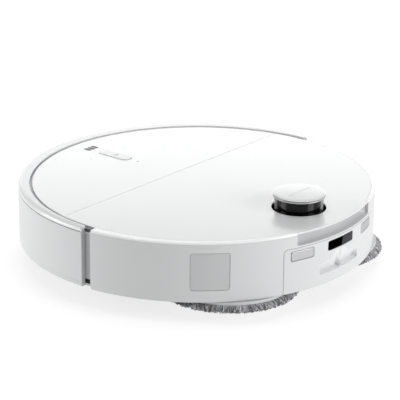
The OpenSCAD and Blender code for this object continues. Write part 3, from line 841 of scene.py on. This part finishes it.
def make_turret():
    """The turret's cap, posts, glass and ring, and the well round it."""
    top = CAP_EDGE_Z + 0.1
    low = CAP_EDGE_Z - 3.1
    dome = [(0, top - 0.1), (CAP_R - 0.6, top - 0.1), (CAP_R - 0.1, top + 0.05), (CAP_R - 0.05, top + 0.35),
            (CAP_R - 0.35, top + 0.7), (CAP_R - 1.1, top + 0.95), (CAP_R - 2.6, top + 1.1), (18, top + 1.3),
            (10, top + 1.5), (0, top + 1.6)]
    dial("turret_dome", "turret", "white_gloss", dome, ["turret_cap"])
    skirt = [(0, low), (DRUM_R + 0.9, low), (DRUM_R + 1.8, low + 0.15), (CAP_R - 0.9, low + 0.9),
             (CAP_R - 0.4, low + 1.4), (CAP_R - 0.15, top - 1.4), (CAP_R - 0.3, top - 1.05), (0, top - 1.05)]
    dial("turret_skirt", "turret", "white_gloss", skirt)
    # A dark grey disc in the groove between dome and skirt: painted shade for the groove's shadow.
    dial("turret_groove_painted_shade", "turret", "hub_grey", [(0, top - 1.1), (CAP_R - 2.2, top - 1.1),
                                                (CAP_R - 2.2, top - 0.05), (0, top - 0.05)])
    line = rounded([(-16, -0.35, 0.3), (16, -0.35, 0.3), (16, 0.35, 0.3), (-16, 0.35, 0.3)], 2)
    mark = flat_plate("turret_line", [[(x + TURRET[0], y + TURRET[1]) for x, y in line]],
                      top + 1.25, top + 1.59, 0.03, "inner_grey")
    stand_for(mark, "turret", "inner_grey")
    dial("turret_glass", "turret", "black_gloss", rounded(
        [(DRUM_R - 1.5, 77.1, 0.2), (DRUM_R, 77.1, 0.2), (DRUM_R, low, 0.2), (DRUM_R - 1.5, low, 0.2)], 2),
        ["turret_window"])
    web = [(DRUM_R + 0.2, 76), (DRUM_R + 2.3, 76), (DRUM_R + 2.5, 80), (DRUM_R + 2.7, 83.5),
           (DRUM_R + 3.1, 87), (CAP_R - 1.3, low + 1.3), (DRUM_R + 0.2, low + 1.3)]
    for index, angle in enumerate(POST_ANGLES):
        # The posts take the brighter white: painted light that lifts them out of the shade under the cap.
        post = lathe("turret_post_%d" % index, web, "bright_white_painted_light", TURRET, angle - 9, angle + 9, 1.0)
        stand_for(post, "turret", "white_gloss")
    flange = rounded([(DRUM_R + 0.1, 74.5, 0.2), (DRUM_R + 2.6, 74.5, 0.2), (DRUM_R + 2.6, 77, 0.5),
                      (DRUM_R + 0.1, 77, 0.2)], 3)
    dial("turret_flange", "turret", "black_gloss", flange)
    dial("well_wall", "chassis", "black_gloss", [(26.3, 62), (27.6, 62), (27.6, 76.3), (26.3, 76.3)])
    dial("well_floor", "chassis", "inner_black", [(23.6, 66), (27.4, 66), (27.4, 67.4), (23.6, 67.4)])
    dial("well_lip", "lid", "black_gloss", [(26.05, 76.8), (26.6, 76.8), (26.6, 77.7), (26.05, 77.7)])


make_turret()


# ------------------------------------------------------------------ button, lights and pickup holes

def make_controls():
    """The power button with its sign, and three plain slots in front of it."""
    # The button takes the same lighter coated white: painted light that lifts its tone.
    button = flat_plate("button_cap", [pill(-0.05)], 75.8, TOP_Z + BUTTON_RISE, 0.5, "coated_white_painted_light")
    stand_for(button, "button", "white_gloss", "power_button")
    middle = -105.5
    face = TOP_Z + BUTTON_RISE
    ring = [(1.5, face - 0.2), (2.0, face - 0.2), (2.0, face + 0.05), (1.5, face + 0.05)]
    icon = lathe("button_icon", ring, "hub_grey", (0, middle), 120, 420, 6)
    stand_for(icon, "button", "hub_grey")
    bar = flat_plate("button_icon_bar", [rounded([(-0.25, middle + 0.6, 0), (0.25, middle + 0.6, 0),
                                                  (0.25, middle + 2.4, 0), (-0.25, middle + 2.4, 0)])],
                     face - 0.2, face + 0.05, 0.03, "hub_grey")
    stand_for(bar, "button", "hub_grey")
    wide, front, rear = 2.0, -144.5, -135.5
    for index, x in enumerate((-5.2, 0.0, 5.2)):
        slot_hole = rounded([(x - wide, front, 1.6), (x + wide, front, 1.6), (x + wide, rear, 1.6),
                             (x - wide, rear, 1.6)], 3)
        hole = flat_plate("pickup_slot_%d" % index, [slot_hole], TOP_Z - 0.6, TOP_Z + 0.03, 0.02,
                          "dark_shell")
        stand_for(hole, "chassis", "dark_shell")


make_controls()


# ------------------------------------------------------------------ mops

def tubes(name, paths, slot, sides=5):
    """Round strands along lists of (point, radius), each one its own island of the mesh."""
    points, faces = [], []
    for path in paths:
        base = len(points)
        for i, (point, radius) in enumerate(path):
            before = path[max(i - 1, 0)][0]
            after = path[min(i + 1, len(path) - 1)][0]
            along = (after - before).normalized()
            across = along.cross(Vector((0.31, 0.12, 0.94))).normalized()
            other = along.cross(across)
            for k in range(sides):
                turn = 2 * math.pi * k / sides
                points.append((point + (across * math.cos(turn) + other * math.sin(turn)) * radius) * MM)
        for i in range(len(path) - 1):
            for k in range(sides):
                a, b = base + i * sides + k, base + i * sides + (k + 1) % sides
                faces.append((a, b, b + sides, a + sides))
        faces.append(tuple(base + k for k in reversed(range(sides))))
        faces.append(tuple(base + (len(path) - 1) * sides + k for k in range(sides)))
    mesh = bpy.data.meshes.new(name)
    mesh.from_pydata(points, [], faces)
    mesh.update()
    mesh.polygons.foreach_set("use_smooth", [True] * len(mesh.polygons))
    obj = bpy.data.objects.new(name, mesh)
    bpy.context.scene.collection.objects.link(obj)
    mesh.materials.append(LOOKS[slot])
    return obj


def fringe_loop(rng, centre, angle):
    """A loop of yarn at the pad's edge: out from under the plate, down and back in."""
    lean = rng.uniform(-5.0, 5.0)
    out = rng.uniform(-1.8, 0.25)
    drop = rng.uniform(0.0, 2.6)
    thick = rng.uniform(0.36, 0.5)
    shape = ((59.5, 15.8, 0.0), (61.6, 16.6, 0.1), (63.9 + 0.5 * out, 16.0, 0.3), (65.6 + out, 14.4, 0.62),
             (66.8 + out, 12.5 + 0.5 * drop, 0.9), (67.1 + out, 11.2 + drop, 1.05),
             (66.0 + out, 10.8 + drop, 1.1))
    path = []
    for radius, height, share in shape:
        turn = angle + lean * share / 1.15
        place = Vector((centre[0] + radius * cos(turn), centre[1] + radius * sin(turn), height))
        path.append((place, thick))
    return path


def under_loop(rng, centre, radius, angle):
    """A short loop of yarn on the pad's lower face."""
    heading = math.radians(angle + rng.uniform(40, 140))
    reach = rng.uniform(2.2, 3.6)
    foot = Vector((centre[0] + radius * cos(angle), centre[1] + radius * sin(angle), 0))
    step = Vector((math.cos(heading), math.sin(heading), 0)) * reach
    dip = rng.uniform(0.0, 0.5)
    heights = (12.4, 11.3, 10.6 - dip, 10.6 - dip, 11.3, 12.4)
    shares = (-1.0, -0.85, -0.4, 0.4, 0.85, 1.0)
    return [(foot + step * share + Vector((0, 0, z)), 0.85) for share, z in zip(shares, heights)]


def make_mop(side, name):
    """A mop pad: backing, fringe of looped yarn and the pile on its lower face."""
    rng = random.Random(11 if side > 0 else 12)
    centre = (MOP[0] * side, MOP[1])
    backing = lathe("mop_backing_" + name, rounded([(0, 11.8, 0), (61.6, 11.8, 1.5), (61.6, 16.9, 1.0),
                                                    (0, 16.9, 0)]), "mop_cloth", centre)
    stand_for(backing, "mop_" + name, "mop_cloth", "mop_pad_" + name)
    count = 1250
    loops = [fringe_loop(rng, centre, 360 * i / count + rng.uniform(-0.4, 0.4)) for i in range(count)]
    fringe = stand_for(tubes("mop_fringe_" + name, loops, "mop_cloth"), "mop_" + name, "mop_cloth")
    loops = []
    rings, ring_gap, loop_gap = 18, 3.4, 2.7
    for ring in range(rings):
        radius = 4 + ring * ring_gap
        many = max(6, round(2 * math.pi * radius / loop_gap))
        loops += [under_loop(rng, centre, radius + rng.uniform(-1, 1), 360 * i / many + rng.uniform(-3, 3))
                  for i in range(many)]
    pile = stand_for(tubes("mop_pile_" + name, loops, "mop_cloth", 4), "mop_" + name, "mop_cloth")


make_mop(1, "left")
make_mop(-1, "right")
